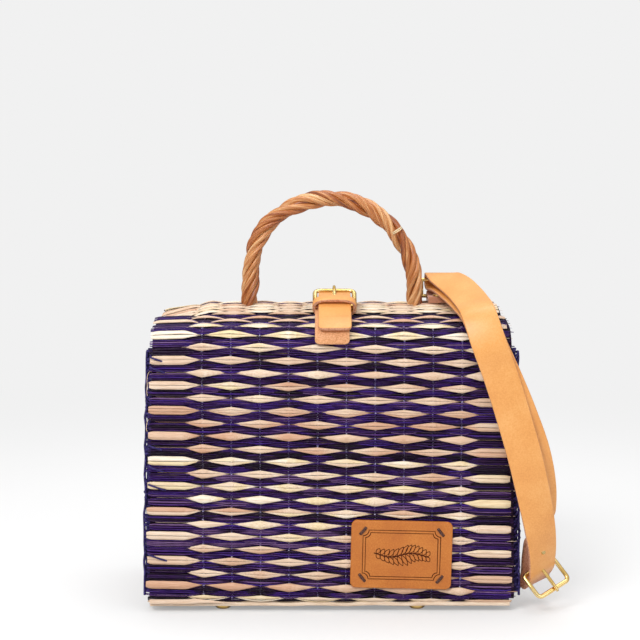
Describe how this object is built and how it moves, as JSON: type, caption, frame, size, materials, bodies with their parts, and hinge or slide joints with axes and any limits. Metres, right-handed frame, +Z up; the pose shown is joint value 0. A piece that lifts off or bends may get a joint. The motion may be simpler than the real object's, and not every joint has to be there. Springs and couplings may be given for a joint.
{
  "type": "basket box bag",
  "caption": "Boxy handbag woven from purple and natural reed, with a hinged domed lid, twisted willow handle, buckled leather closure, leather patch and shoulder strap.",
  "frame": {"origin": "on the floor, under the middle of the whole object's box, strap included", "axes": "+Z up, the woven front with the patch faces -Y, +X to the right seen from the front"},
  "size_m": [0.3295, 0.1436, 0.3204],
  "materials": {
    "purple_reed": "satin",
    "natural_reed": "matte",
    "binding_cord": "matte",
    "strap_leather": "satin",
    "suede": "matte",
    "patch_leather": "satin",
    "willow": "matte",
    "brass": "polished",
    "waxed_thread": "matte"
  },
  "bodies": {
    "basket": {"basket_mat": "purple_reed", "front_natural_reeds": "natural_reed", "base_natural_reeds": "natural_reed", "back_natural_reeds": "natural_reed", "left_side_panel": "purple_reed", "right_side_panel": "purple_reed", "left_side_reeds": "natural_reed", "right_side_reeds": "natural_reed", "seam_front_left": "binding_cord", "seam_front_right": "binding_cord", "seam_rear_left": "binding_cord", "seam_rear_right": "binding_cord", "foot_front_left": "brass", "foot_front_right": "brass", "foot_rear_left": "brass", "foot_rear_right": "brass", "foot_washers": "brass", "leather_patch": "patch_leather", "patch_stitches": "waxed_thread", "snap_socket": "brass"},
    "lid": {"lid_mat": "purple_reed", "lid_natural_reeds": "natural_reed", "handle_cane_1": "willow", "handle_cane_2": "willow", "handle_cane_3": "willow", "handle_pegs": "willow", "closure_billet": "strap_leather", "closure_chape": "strap_leather", "closure_keeper": "suede", "closure_buckle_frame": "brass", "closure_rivet": "brass", "snap_stud": "brass", "anchor_tab": "suede", "anchor_stud": "brass"},
    "closure_prong_body": {"closure_prong": "brass"},
    "strap": {"strap_ring": "brass", "shoulder_strap": "strap_leather", "strap_buckle_frame": "brass", "strap_stud": "brass"},
    "strap_prong_body": {"strap_prong": "brass"}
  },
  "joints": [
    {"name": "lid_hinge", "type": "hinge", "parent": "basket", "child": "lid", "pos_m": [0, 0.0518, 0.2226], "axis": [-1, 0, 0], "range_deg": [0, 105]},
    {"name": "closure_prong_pivot", "type": "hinge", "parent": "lid", "child": "closure_prong_body", "pos_m": [-0.0196, -0.02195, 0.23197], "axis": [1, 0, 0], "range_deg": [0, 45]},
    {"name": "strap_swing", "type": "hinge", "parent": "lid", "child": "strap", "pos_m": [0.0684, 0.02405, 0.23547], "axis": [-1, 0, 0], "range_deg": [0, 80]},
    {"name": "strap_prong_pivot", "type": "hinge", "parent": "strap", "child": "strap_prong_body", "pos_m": [0.1399, -0.04955, 0.0324], "axis": [-0.7975, -0.5075, -0.3262], "range_deg": [0, 90]}
  ]
}
